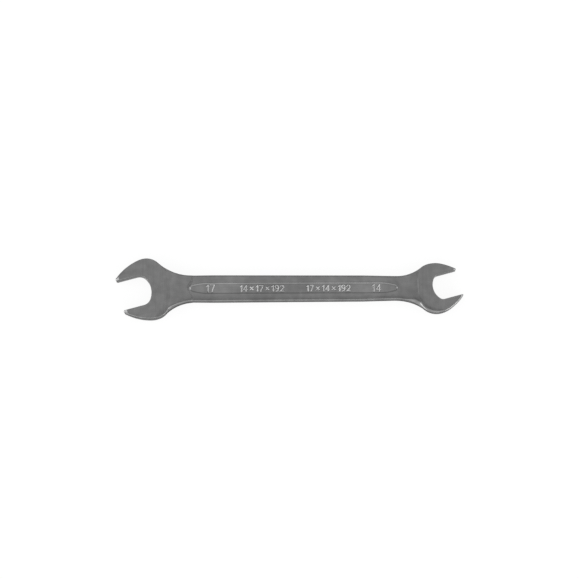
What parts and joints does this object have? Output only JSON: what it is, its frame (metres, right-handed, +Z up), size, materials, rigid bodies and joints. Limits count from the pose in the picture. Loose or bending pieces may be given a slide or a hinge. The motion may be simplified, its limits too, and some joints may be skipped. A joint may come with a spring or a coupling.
{
  "type": "open end wrench",
  "caption": "Flat forged hand wrench with an open jaw at each end, set at fifteen degrees to a flat oval shank with a long shallow recess on each face.",
  "frame": {"origin": "middle of the bounding box at its lowest height, under the middle of the shank, where the flat faces of the large head rest", "axes": "+X along the shank from the large jaw to the small jaw, +Y across the shank, +Z up through the thickness"},
  "size_m": [0.192, 0.034, 0.0068],
  "materials": {
    "alloy_steel": "dark satin, ground heads and forged shank"
  },
  "bodies": {
    "root": {"wrench_forging": "alloy_steel"}
  },
  "joints": []
}
